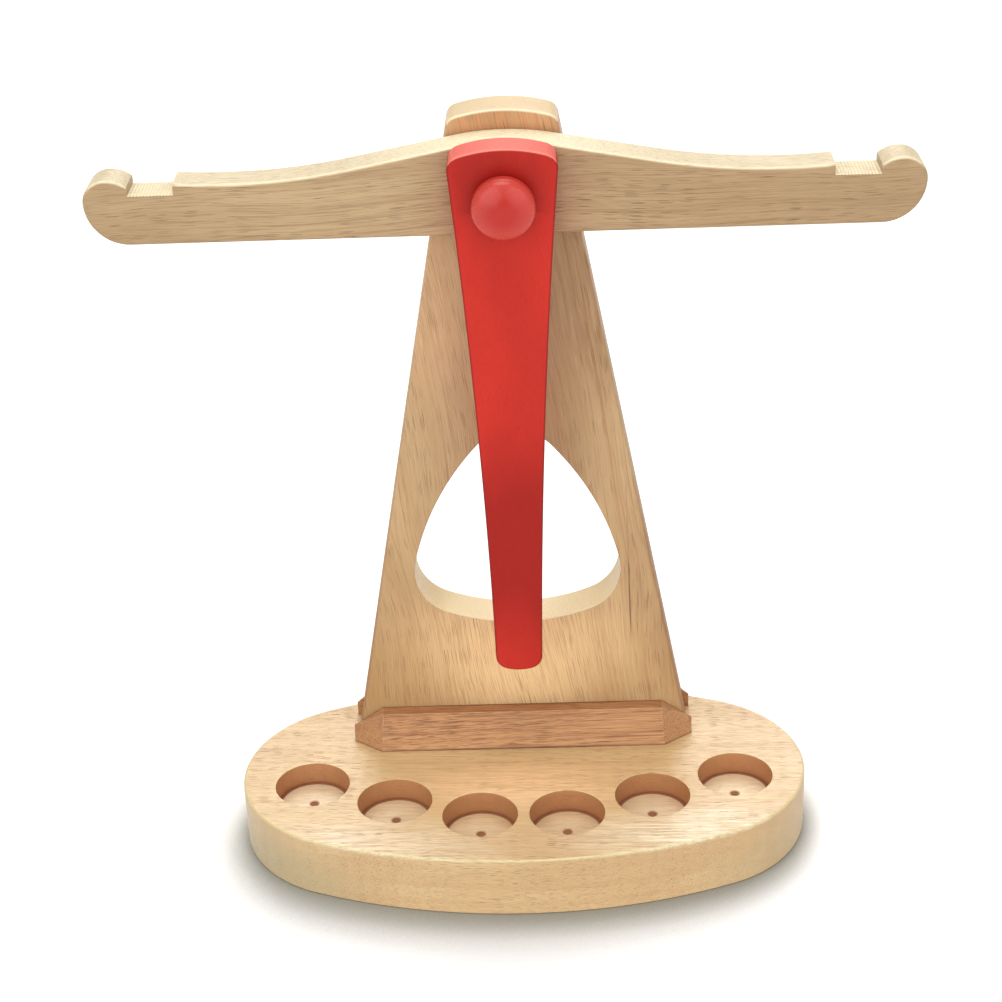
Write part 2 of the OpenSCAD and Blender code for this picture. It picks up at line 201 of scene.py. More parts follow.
def isNearAxle(edge):
    # the edges of the hole for the axle stay sharp
    spot = middle(edge)
    return Vector((spot.x, spot.z - pivot.z)).length < axleRadius * 1.5


def finishPiece(bm, name, body, nodes, material):
    # turns a bmesh into a piece that rides on its body and stands for its nodes
    bmesh.ops.remove_doubles(bm, verts=bm.verts[:], dist=tiny)
    bmesh.ops.recalc_face_normals(bm, faces=bm.faces[:])
    mesh = bpy.data.meshes.new(name)
    bm.to_mesh(mesh)
    bm.free()
    mesh.shade_smooth()
    mesh.set_sharp_from_angle(angle=sharpAngle)
    mesh.materials.append(material)
    piece = bpy.data.objects.new(name, mesh)
    bpy.context.scene.collection.objects.link(piece)
    normals = piece.modifiers.new("flat faces stay flat", "WEIGHTED_NORMAL")
    normals.keep_sharp = True
    normals.use_face_influence = True
    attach(piece, body)
    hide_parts(*nodes)
    print("piece:", name, len(mesh.polygons), "faces")
    return piece


# Materials

class Wire:
    # a socket in a material that Python's operators work on
    def __init__(self, bench, socket):
        self.bench = bench
        self.socket = socket

    def math(self, operation, *others):
        return self.bench.add("ShaderNodeMath", {"operation": operation}, [self, *others])

    def __add__(self, other):
        return self.math("ADD", other)

    def __sub__(self, other):
        return self.math("SUBTRACT", other)

    def __mul__(self, other):
        return self.math("MULTIPLY", other)

    def __rsub__(self, other):
        return self.bench.add("ShaderNodeMath", {"operation": "SUBTRACT"}, [other, self])

    __radd__ = __add__
    __rmul__ = __mul__


class Bench:
    # adds nodes to one material
    def __init__(self, name):
        self.material = bpy.data.materials.new(name)
        self.material.use_nodes = True
        self.tree = self.material.node_tree
        self.shader = self.tree.nodes["Principled BSDF"]

    def add(self, kind, settings, values, output=0):
        node = self.tree.nodes.new(kind)
        for name, value in settings.items():
            setattr(node, name, value)
        for key, value in (values.items() if isinstance(values, dict) else enumerate(values)):
            self.join(value, node.inputs[key])
        return Wire(self, node.outputs[output])

    def join(self, value, socket):
        if isinstance(value, Wire):
            self.tree.links.new(value.socket, socket)
        else:
            socket.default_value = value

    def grain(self, centre, turn):
        # coordinates in millimetres whose first axis runs along the fibres
        place = self.add("ShaderNodeTexCoord", {}, {}, "Object")
        return self.add("ShaderNodeMapping", {}, {
            "Vector": self.vector("SUBTRACT", place, centre), "Rotation": turn,
            "Scale": (1000, 1000, 1000)})

    def vector(self, operation, *values):
        output = "Value" if operation == "LENGTH" else 0
        return self.add("ShaderNodeVectorMath", {"operation": operation}, values, output)

    def part(self, vector, axis):
        return self.add("ShaderNodeSeparateXYZ", {}, [vector], axis)

    def noise(self, vector, factors, detail=2, roughness=0.5):
        return self.add("ShaderNodeTexNoise", {}, {
            "Vector": self.vector("MULTIPLY", vector, factors), "Scale": 1.0,
            "Detail": detail, "Roughness": roughness})

    def clouds(self, vector, factors, detail, low, high):
        return self.ramp(self.noise(vector, factors, detail), low, high)

    def pores(self, vector, cells, size):
        # thin dashes in some of the cells of a stretched lattice, each of its own strength
        place = self.vector("MULTIPLY", vector, cells)
        gap = self.add("ShaderNodeTexVoronoi", {}, {"Vector": place, "Scale": 1.0})
        chance = self.add("ShaderNodeTexVoronoi", {}, {"Vector": place, "Scale": 1.0}, "Color")
        chosen = self.ramp(self.add("ShaderNodeSeparateColor", {}, [chance]), 0.1, 0.95)
        return (1 - self.ramp(gap, size * 0.55, size)) * chosen

    def ramp(self, value, low, high):
        # 0 below low, 1 above high, smooth between
        return self.add(
            "ShaderNodeMapRange", {"interpolation_type": "SMOOTHSTEP"},
            {"Value": value, "From Min": low, "From Max": high})

    def mix(self, factor, first, second):
        # the colour sockets of the node are its inputs 6 and 7 and its output 2
        return self.add(
            "ShaderNodeMix", {"data_type": "RGBA"}, {0: factor, 6: first, 7: second}, 2)

    def attribute(self, name):
        return self.add("ShaderNodeAttribute", {"attribute_name": name}, {}, "Fac")

    def dress(self, tone, matt, height, strength, look):
        # joins the finished patterns to the shader
        bump = self.add("ShaderNodeBump", {}, {
            "Height": height, "Distance": look["relief"], "Strength": strength})
        self.join(tone, self.shader.inputs["Base Color"])
        self.join(matt, self.shader.inputs["Roughness"])
        self.join(bump, self.shader.inputs["Normal"])
        self.shader.inputs["IOR"].default_value = 1.5
        self.shader.inputs["Specular IOR Level"].default_value = look["gloss"]


def colour(red, green, blue):
    return (red, green, blue, 1)


# Patterns of all woods: cells to the millimetre along and across the fibres, detail of the
# noise, and the values of the noise at which the pattern starts and is full
woodGrain = {
    "bands": ((0.006, 0.06, 0.06), 3, 0.34, 0.66),
    "streaks": ((0.012, 0.9, 0.9), 3, 0.54, 0.76),
    "thickets": ((0.02, 0.14, 0.14), 2, 0.36, 0.62),
    "broken": ((0.06, 1.0, 1.0), 3, 0.36, 0.6),
    "specks": ((1.2, 2.4, 2.4), 2, 0.46, 0.66),
    "swayCells": (0.009, 0.014, 0.014), "pithStretch": (0.04, 1, 1), "ringWander": 5,
    "ringRamp": (0.1, 1.0), "fibreCells": (0.05, 3.4, 3.4), "fibreBite": 0.7,
    "fibreRamp": (0.44, 0.70), "patchRamp": (0.2, 1.0),
    "fewestPores": 0.3,  # share of the pores outside the thickets
    "paintedLightHidesPores": 0.6, "paintedLightHidesGrain": 0.4, "endsHide": 0.6,  # what painted light and end grain take away
    "endTone": 0.12, "endSpecks": 0.4, "shadeMatt": 0.8, "fibreMatt": 0.2,
    "fibreHeight": 0.45, "streakHeight": 0.1, "bumpStrength": 0.7,
}
paintGrain = {
    "clouds": ((0.02, 0.05, 0.05), 3, 0.34, 0.66),
    "thickets": ((0.03, 0.1, 0.1), 2, 0.45, 0.7),
    "fibreCells": (0.08, 2.4, 2.4), "fibreBite": 0.6, "fibreRamp": (0.45, 0.8),
    "pebbleCells": (1.6, 1.6, 1.6), "pebbleRamp": (0.4, 0.65), "cloudDepth": 0.3,
    "evenPaintedLight": 0.75, "fibreMatt": 0.15, "fibreHeight": 0.3, "pebbleHeight": 0.5,
    "bumpStrength": 0.6,
}


def addTintsAndPaintedLight(bench, tone, tintsAndPaintedLight, broken):
    # tints parts of a board with soft edges, evenly or broken up along the fibres; some tints are
    # painted light and shade
    place = bench.add("ShaderNodeTexCoord", {}, {}, "Object")
    for spot, reach, depth, tint, even, lean in tintsAndPaintedLight:
        away = bench.vector("SUBTRACT", place, spot)
        if lean:
            aside = bench.add("ShaderNodeCombineXYZ", {}, [bench.part(away, 2) * lean, 0, 0])
            away = bench.vector("ADD", away, aside)
        away = bench.vector("MULTIPLY", away, tuple(1 / r for r in reach))
        outside = bench.ramp(bench.vector("LENGTH", away), *woodGrain["patchRamp"])
        tone = bench.mix((1 - outside) * depth * (even + (1 - even) * broken), tone, tint)
    return tone


def makeWood(name, look, centre, turn):
    # planed hardwood under satin varnish: bands, growth rings, streaks, fibres and short pores
    grain = woodGrain
    bench = Bench(name)
    flow = bench.grain(centre, turn)
    sway = bench.noise(flow, grain["swayCells"], detail=1) - 0.5
    ahead, side, up = [bench.part(flow, axis) for axis in range(3)]
    bent = bench.add("ShaderNodeCombineXYZ", {}, [ahead, side + sway * look["sway"], up])
    flattened = bench.vector("MULTIPLY", bent, grain["pithStretch"])
    fromPith = bench.vector("LENGTH", bench.vector("SUBTRACT", flattened, (0, *look["pith"])))
    wave = fromPith * (math.tau / look["ringStep"]) + sway * grain["ringWander"]
    rings = bench.ramp(wave.math("SINE"), *grain["ringRamp"])
    bands, streaks, thickets, broken = [
        bench.clouds(bent, *grain[kind]) for kind in ("bands", "streaks", "thickets", "broken")]
    specks = bench.clouds(flow, *grain["specks"])
    fibres = bench.noise(bent, grain["fibreCells"], roughness=grain["fibreBite"])
    paintedLight, ends, shade, wearAndHighlight, blush = [
        bench.attribute(layer) for layer in ("paintedLight", "ends", "shade", "wearAndHighlight", "blush")]
    fewest = grain["fewestPores"]
    pores = bench.pores(bent, look["poreCells"], look["poreSize"])
    pores = pores * (fewest + (1 - fewest) * thickets) * (1 - paintedLight * grain["paintedLightHidesPores"])
    plain = 1 - ends * grain["endsHide"] - paintedLight * grain["paintedLightHidesGrain"]
    tone = bench.mix(bands, look["light"], look["dark"])
    tone = bench.mix(rings * plain * look["ringDepth"], tone, look["ring"])
    tone = bench.mix(streaks * plain * look["streakDepth"], tone, look["streak"])
    tone = addTintsAndPaintedLight(bench, tone, look["tintsAndPaintedLight"], broken)
    # painted light on faces that look up
    tone = bench.mix(paintedLight, tone, look["paintedLight"])
    fibreTone = bench.ramp(fibres, *grain["fibreRamp"]) * plain * look["fibreDepth"]
    tone = bench.mix(fibreTone, tone, look["fibre"])
    tone = bench.mix(pores * look["poreDepth"], tone, look["pore"])
    # worn arrises, lighter where they look up, as a painted highlight
    tone = bench.mix(wearAndHighlight * look["wearAndHighlightDepth"], tone, look["wearAndHighlight"])
    tone = bench.mix(ends * (grain["endTone"] + grain["endSpecks"] * specks), tone, look["streak"])
    tone = bench.mix(blush, tone, look["blush"])
    tone = bench.mix(shade, tone, look["shade"])
    matt = look["roughness"] + shade * grain["shadeMatt"] + (fibres - 0.5) * grain["fibreMatt"]
    height = fibres * grain["fibreHeight"] + streaks * grain["streakHeight"] - pores
    bench.dress(tone, matt, height, grain["bumpStrength"], look)
    return bench.material


def makePaint(name, look, centre, turn):
    # satin paint over wood whose pores still show
    grain = paintGrain
    bench = Bench(name)
    flow = bench.grain(centre, turn)
    clouds = bench.clouds(flow, *grain["clouds"])
    thickets = bench.clouds(flow, *grain["thickets"])
    fibres = bench.noise(flow, grain["fibreCells"], detail=3, roughness=grain["fibreBite"])
    pebbles = bench.noise(flow, grain["pebbleCells"])
    pores = bench.pores(flow, look["poreCells"], look["poreSize"]) * thickets
    level = bench.part(bench.add("ShaderNodeTexCoord", {}, {}, "Object"), 2)
    # painted dark reflection in bands at given heights
    paintedReflection = 0
    for middleLevel, reach, depth in look["paintedReflection"]:
        away = ((level - middleLevel) * (1 / reach)).math("ABSOLUTE")
        paintedReflection = (1 - bench.ramp(away, 0.0, 1.0)) * depth + paintedReflection
    tone = bench.mix(clouds * grain["cloudDepth"] + paintedReflection, look["light"], look["dark"])
    fibreTone = bench.ramp(fibres, *grain["fibreRamp"]) * look["fibreDepth"]
    tone = bench.mix(fibreTone, tone, look["pore"])
    tone = bench.mix(pores * look["poreDepth"], tone, look["pore"])
    tone = bench.mix(bench.attribute("shade"), tone, look["pore"])
    even = grain["evenPaintedLight"]
    patchy = even + (1 - even) * bench.ramp(pebbles, *grain["pebbleRamp"])
    # painted light on faces that look up, patchy in pebbles
    tone = bench.mix(bench.attribute("paintedLight") * patchy, tone, look["paintedLight"])
    # worn arrises, lighter where they look up, as a painted highlight
    tone = bench.mix(bench.attribute("wearAndHighlight") * look["wearAndHighlightDepth"], tone, look["wearAndHighlight"])
    matt = look["roughness"] + (fibres - 0.5) * grain["fibreMatt"]
    height = fibres * grain["fibreHeight"] + pebbles * grain["pebbleHeight"] - pores
    bench.dress(tone, matt, height, grain["bumpStrength"], look)
    return bench.material


def makeSteel(name, look):
    # zinced steel with a fine cast of greys
    bench = Bench(name)
    spangle = bench.noise(bench.grain((0, 0, 0), (0, 0, 0)), look["cells"])
    tone = bench.mix(spangle, look["dark"], look["light"])
    bench.join(tone, bench.shader.inputs["Base Color"])
    bench.join(look["roughness"] + spangle * look["spread"], bench.shader.inputs["Roughness"])
    bench.shader.inputs["Metallic"].default_value = 1.0
    return bench.material


baseWood = {
    "light": colour(0.72, 0.50, 0.24), "dark": colour(0.64, 0.41, 0.18),
    "ring": colour(0.55, 0.31, 0.13), "ringDepth": 0.2, "ringStep": 7.0, "pith": (-60, -40),
    "streak": colour(0.50, 0.26, 0.11), "streakDepth": 0.4,
    "fibre": colour(0.48, 0.28, 0.12), "fibreDepth": 0.7,
    "pore": colour(0.34, 0.17, 0.07), "poreDepth": 0.4, "poreSize": 0.32,
    "poreCells": (0.17, 3.0, 3.0), "wearAndHighlight": colour(0.78, 0.72, 0.34), "wearAndHighlightDepth": 0.5,
    "shade": colour(0.25, 0.06, 0.012), "blush": colour(0.53, 0.20, 0.07),
    "paintedLight": colour(0.95, 0.78, 0.52), "sway": 10.0, "roughness": 0.3, "relief": 0.0004,
    "gloss": 1.0,
    # place, reach, strength, colour, evenness and lean of tinted parts of the board, some of them
    # painted light and shade
    "tintsAndPaintedLight": [
        # painted sheen on the top, front left and front right
        ((-0.055, -0.046, 0.0225), (0.065, 0.022, 0.002), 0.75, colour(0.92, 0.78, 0.54), 0.3, 0),
        ((0.062, -0.042, 0.0225), (0.065, 0.024, 0.002), 0.9, colour(0.92, 0.80, 0.56), 0.3, 0),
        # painted sheen on the right end of the top
        ((0.105, 0.0, 0.0225), (0.05, 0.05, 0.002), 0.35, colour(0.92, 0.76, 0.52), 0.3, 0),
        # painted light and warm reflection in front of the upright
        ((0.0, -0.012, 0.0225), (0.07, 0.022, 0.002), 0.7, colour(1.0, 0.64, 0.34), 0.8, 0),
        ((-0.088, -0.030, 0.004), (0.05, 0.05, 0.022), 1.0, colour(0.48, 0.38, 0.19), 0.9, 0),
        ((0.090, -0.030, 0.004), (0.045, 0.05, 0.018), 0.5, colour(0.52, 0.41, 0.20), 0.8, 0),
    ],
}
uprightWood = dict(
    baseWood, light=colour(0.61, 0.41, 0.205), dark=colour(0.505, 0.318, 0.146), ringStep=12.0,
    ringDepth=0.2, pith=(90, 60), streak=colour(0.40, 0.195, 0.085), streakDepth=0.7,
    fibre=colour(0.40, 0.225, 0.10), fibreDepth=0.5, pore=colour(0.24, 0.10, 0.04),
    poreDepth=0.5, poreSize=0.34, poreCells=(0.085, 3.2, 3.2), sway=16.0, relief=0.0003,
    wearAndHighlight=colour(0.98, 0.88, 0.62), wearAndHighlightDepth=0.8, paintedLight=colour(1.0, 0.84, 0.50), gloss=0.5,
    tintsAndPaintedLight=[
        ((0.030, 0.022, 0.190), (0.024, 0.05, 0.050), 0.6, colour(0.34, 0.175, 0.08), 0.3, 0),
        # painted light on the foot
        ((0.0, 0.022, 0.060), (0.052, 0.05, 0.042), 1.0, colour(1.0, 0.70, 0.37), 0.8, 0),
        # painted shade along the right edge
        ((0.048, 0.022, 0.080), (0.015, 0.05, 0.055), 0.5, colour(0.40, 0.22, 0.10), 0.6, 0.19),
        # painted light on the upper left, under the beam
        ((-0.026, 0.022, 0.195), (0.020, 0.05, 0.050), 0.6, colour(0.86, 0.55, 0.29), 0.7, 0),
        ((0.0483, 0.022, 0.085), (0.0008, 0.05, 0.055), 0.5, colour(0.22, 0.13, 0.05), 0.1, 0.183),
        ((0.0390, 0.022, 0.097), (0.0004, 0.05, 0.038), 0.6, colour(0.12, 0.06, 0.02), 0.2, 0.024),
        ((0.0394, 0.022, 0.077), (0.0004, 0.05, 0.020), 0.9, colour(0.08, 0.04, 0.02), 0.6, 0.024),
        # painted shade tinted red beside the pointer
        ((0.0, 0.022, 0.170), (0.028, 0.05, 0.080), 0.4, colour(0.68, 0.36, 0.22), 0.9, 0),
        # painted shade tinted red above the beam
        ((0.0, 0.022, 0.250), (0.032, 0.05, 0.014), 0.7, colour(0.82, 0.33, 0.16), 0.5, 0),
    ])
beamWood = dict(
    baseWood, light=colour(0.54, 0.38, 0.20), dark=colour(0.455, 0.30, 0.155), ringDepth=0.2,
    ring=colour(0.40, 0.24, 0.115), streak=colour(0.32, 0.17, 0.08), streakDepth=0.6,
    fibre=colour(0.31, 0.18, 0.085), fibreDepth=0.7, pore=colour(0.24, 0.10, 0.045),
    poreDepth=0.6, poreSize=0.34, poreCells=(0.12, 3.0, 3.0), paintedLight=colour(0.98, 0.86, 0.57),
    wearAndHighlight=colour(0.98, 0.86, 0.58), wearAndHighlightDepth=0.55, pith=(-120, 70), sway=14.0, relief=0.0003,
    gloss=0.5,
    tintsAndPaintedLight=[
        ((side * 0.125, 0.014, 0.235), (0.05, 0.05, 0.05), 0.4, colour(0.37, 0.24, 0.12), 0.7, 0)
        for side in (-1, 1)
    # painted red reflection of the pointer
    ] + [((0.002, 0.007, 0.235), (0.034, 0.02, 0.04), 0.5, colour(0.50, 0.24, 0.13), 0.8, 0)])
seamShade = colour(0.17, 0.06, 0.02)
cleatWood = dict(
    baseWood, light=colour(0.66, 0.35, 0.155), dark=colour(0.50, 0.235, 0.095),
    ring=colour(0.30, 0.11, 0.045), ringDepth=0.2, ringStep=3.4, pith=(20, -30),
    streak=colour(0.22, 0.08, 0.033), streakDepth=0.7, fibre=colour(0.20, 0.075, 0.03),
    fibreDepth=0.8, pore=colour(0.12, 0.04, 0.018), poreDepth=0.6, poreSize=0.34,
    poreCells=(0.09, 4.2, 4.2), relief=0.0003,
    wearAndHighlight=colour(0.74, 0.52, 0.32), wearAndHighlightDepth=0.5, sway=5.0, gloss=0.5,
    tintsAndPaintedLight=[  # painted shade along the seams against the base board and the upright
        ((0.0, 0.0, cleatLow.z), (0.12, 0.2, 0.0010), 1.0, seamShade, 0.8, 0),
        ((0.0, cleatHigh.y, 0.03), (0.12, 0.0013, 0.03), 1.0, seamShade, 0.8, 0),
        ((0.0, -cleatHigh.y, 0.03), (0.12, 0.0013, 0.03), 1.0, seamShade, 0.8, 0),
    ])
redPaint = {
    "light": colour(0.60, 0.027, 0.015), "dark": colour(0.37, 0.011, 0.006),
    "paintedReflection": [(0.26, 0.045, 0.5), (0.112, 0.055, 1.1)],  # height, reach and depth of bands darkened as painted reflection
    "pore": colour(0.25, 0.008, 0.006), "poreDepth": 0.55, "poreSize": 0.2, "fibreDepth": 0.25,
    "poreCells": (0.22, 1.2, 1.2), "wearAndHighlight": colour(0.92, 0.30, 0.22), "wearAndHighlightDepth": 0.75,
    "paintedLight": colour(0.90, 0.17, 0.13), "roughness": 0.34, "relief": 0.0001, "gloss": 0.22,
}
capPaint = dict(
    redPaint, paintedReflection=[(0.2365, 0.05, 0.35)], roughness=0.25, relief=0.00008, gloss=0.42)
steelLook = {
    "cells": (3, 3, 3), "dark": colour(0.5, 0.5, 0.49), "light": colour(0.66, 0.65, 0.62),
    "roughness": 0.3, "spread": 0.2,
}

# Centre of each grain and its turn to the fibres
woods = {
    "base": makeWood("baseWood", baseWood, (0, 0.01, 0.0), (0.12, 0, 0.03)),
    "upright": makeWood("uprightWood", uprightWood, (0.02, 0.03, 0.1), (
        quarter, -0.03, quarter + 0.14)),
    "beam": makeWood("beamWood", beamWood, (0.01, 0.0, 0.21), (quarter, 0, 0.01)),
    "cleat": makeWood("cleatWood", cleatWood, (0, 0, 0), (0.4, 0.02, 0.02)),
    "bare": makeWood("bareWood", baseWood, (0, 0, 0.2), (0, 0, quarter)),
}
paints = {
    "pointer": makePaint("pointerPaint", redPaint, (0, 0, 0.2), (0.2, quarter - 0.06, 0)),
    "cap": makePaint("capPaint", capPaint, (0, 0, 0.2), (0, 0, quarter)),
}
print("stage: materials made")


# Base board

baseLook = {
    "endRadius": 0.044, "arris": 0.0009, "pitRadius": 0.0131, "pitDepth": 0.0082,
    "pitRim": 0.0003, "grooveWidth": 0.0010, "grooveDepth": 0.0004, "footHeight": 0.0006,
    "dimpleRadius": 0.0014, "dimpleDepth": 0.0016, "segments": 72,
    "pits": [(0.0151, -0.0279), (0.0451, -0.0186), (0.0749, -0.0075)],
    "screwRoom": 0.0023, "screwHead": 0.004, "screwSunk": 0.0008,
    "dimpleShade": 0.8, "floorEdgeShade": 0.12, "grooveShade": 0.9, "footShade": 0.75,
    "wallShade": 0.05, "wallBlush": 0.75, "pitPaintedLight": 0.3, "pitPaintedLightOutward": 7.0,
    "screwSteps": 32, "outlineArea": 1e-5,
}


def drill(bm, ring, place, radius, steps):
    # carries a ring of edges inwards over (radius, height) steps
    level = place.z
    for nextRadius, nextLevel in steps:
        grown = bmesh.ops.extrude_edge_only(bm, edges=ring)
        verts, ring = onlyVerts(grown["geom"]), onlyEdges(grown["geom"])
        bmesh.ops.scale(
            bm, vec=(nextRadius / radius, nextRadius / radius, 1), verts=verts,
            space=Matrix.Translation(-place))
        bmesh.ops.translate(bm, verts=verts, vec=(0, 0, nextLevel - level))
        radius, level = nextRadius, nextLevel
    return ring


def makeBase():
    # an oval board with pits from above and two screw holes from below
    look = baseLook
    width, depth = baseHigh.x - baseLow.x, baseHigh.y - baseLow.y
    end = Vector((width / 2 - look["endRadius"], 0))
    sideRadius = (end.x ** 2 + (depth / 2) ** 2 - look["endRadius"] ** 2) / (
        depth - 2 * look["endRadius"])
    side = Vector((0, sideRadius - depth / 2))
    turn = turnTo(side, end)
    top, steps = baseHigh.z, look["segments"]
    bm = bmesh.new()
    pen = Pen(bm, Vector((0, baseLow.y)), height=top)
    pen.arc(side, -quarter, turn, steps // 2)
    pen.arc(end, turn, -turn, steps)
    pen.arc(-side, -turn, quarter, steps // 2)
    mirrorHalf(bm)
    outline = bm.edges[:]
    walls = bmesh.ops.extrude_edge_only(bm, edges=outline)
    bmesh.ops.translate(bm, verts=onlyVerts(walls["geom"]), vec=(0, 0, baseLow.z - top))
    isLowest = lambda e: all(abs(v.co.z - baseLow.z) < tiny for v in e.verts)
    lowerOutline = [e for e in onlyEdges(walls["geom"]) if isLowest(e)]
    pitPlaces = [Vector((s * x, y, top)) for x, y in look["pits"] for s in (-1, 1)]
    screwPlaces = [
        Vector((s * (screwHigh.x - look["screwHead"]), (screwLow.y + screwHigh.y) / 2, 0))
        for s in (-1, 1)]
    pitRings = [addRing(bm, look["pitRadius"], steps, place, False) for place in pitPlaces]
    upperRings = [
        addRing(bm, look["screwRoom"], look["screwSteps"], place + Vector((0, 0, top)), False)
        for place in screwPlaces]
    lowerRings = [
        addRing(bm, look["screwHead"], look["screwSteps"], place, False)
        for place in screwPlaces]
    bmesh.ops.triangle_fill(
        bm, use_beauty=True, use_dissolve=False,
        edges=outline + sum(pitRings, []) + sum(upperRings, []))
    bmesh.ops.triangle_fill(
        bm, use_beauty=True, use_dissolve=False, edges=lowerOutline + sum(lowerRings, []))
    floor = top - look["pitDepth"]
    wall, inner = look["pitRadius"], look["pitRadius"] - look["grooveWidth"]
    dimple = look["dimpleRadius"]
    for ring, place in zip(pitRings, pitPlaces):
        last = drill(bm, ring, place, wall, [
            (wall, floor + look["footHeight"]),  # wall
            (wall, floor - look["grooveDepth"]),  # foot of the wall in the groove
            (inner, floor - look["grooveDepth"] * 0.6),
            (inner - look["grooveWidth"] * 0.5, floor),  # inner edge of the groove
            (wall * 0.6, floor),
            (dimple * 1.5, floor),
            (dimple, floor - look["dimpleDepth"] * 0.2),  # worn rim of the dimple
            (dimple * 0.4, floor - look["dimpleDepth"])])
        bmesh.ops.pointmerge(
            bm, verts=list({v for e in last for v in e.verts}),
            merge_co=(place.x, place.y, floor - look["dimpleDepth"] * 1.1))
    taper = look["screwHead"] - look["screwRoom"]
    for ring, place in zip(lowerRings, screwPlaces):
        drill(bm, ring, place, look["screwHead"], [
            (look["screwHead"], look["screwSunk"]),
            (look["screwRoom"], look["screwSunk"] + taper), (look["screwRoom"], top)])
    bmesh.ops.remove_doubles(bm, verts=bm.verts[:], dist=tiny)
    bmesh.ops.recalc_face_normals(bm, faces=bm.faces[:])
    offRim = lambda e, place: abs((middle(e) - place).length - wall)
    onPitRim = lambda e: abs(middle(e).z - top) < tiny and any(
        offRim(e, place) < look["pitRim"] / 1.5 for place in pitPlaces)
    roundArrises(bm, look["pitRim"], 2, onPitRim)
    isOutline = lambda e: len(e.link_faces) == 2 and middle(e).z in (top, baseLow.z) and any(
        abs(f.normal.z) < 0.5 and f.calc_area() > look["outlineArea"] for f in e.link_faces)
    roundArrises(bm, look["arris"], 4, isOutline)
    # painted light on the pit floors, more towards the ends of the board
    isPitFloor = lambda face: face.normal.z > 0.9 and (
        face.calc_center_median().z < top - look["pitDepth"] * 0.9)
    pitFloorPaintedLight = lambda v: look["pitPaintedLight"] + abs(v.co.x) * look["pitPaintedLightOutward"]
    paintLightOnFaces(bm, lambda face, v: pitFloorPaintedLight(v) if isPitFloor(face) else None)
    shade = bm.verts.layers.float.new("shade")
    blush = bm.verts.layers.float.new("blush")
    for v in bm.verts:
        if v.co.z > top - tiny or v.co.z < floor - look["dimpleDepth"] * 2:
            continue
        for place in pitPlaces:
            reach = Vector((v.co.x - place.x, v.co.y - place.y)).length
            if reach < dimple * 1.1:
                v[shade] = look["dimpleShade"]
            elif reach < inner - tiny and reach > wall * 0.7:
                v[shade] = look["floorEdgeShade"]
            elif abs(reach - inner) < tiny:
                v[shade] = look["grooveShade"]
            elif abs(reach - wall) < tiny * 10:
                v[shade] = look["footShade"] if v.co.z < floor else look["wallShade"]
                v[blush] = look["wallBlush"]
    return finishPiece(bm, "baseBoard", "stand", ["base_board"], woods["base"])


makeBase()


# Upright

uprightLook = {
    "topWidth": 0.0342, "crownRadius": 0.056, "cornerRadius": 0.0042, "arris": 0.0009,
    "openingWidth": 0.0726, "openingHeight": 0.0754, "openingRise": 0.0476,
    "openingCorner": 0.017, "openingSide": 0.101, "openingBottom": 0.069,
    "openingArris": 0.0004, "openingPaintedLight": 0.8, "crownPaintedLight": 0.55, "sideShade": 0.4,
    "sideSlope": 0.1827, "outerBand": 0.004,
}


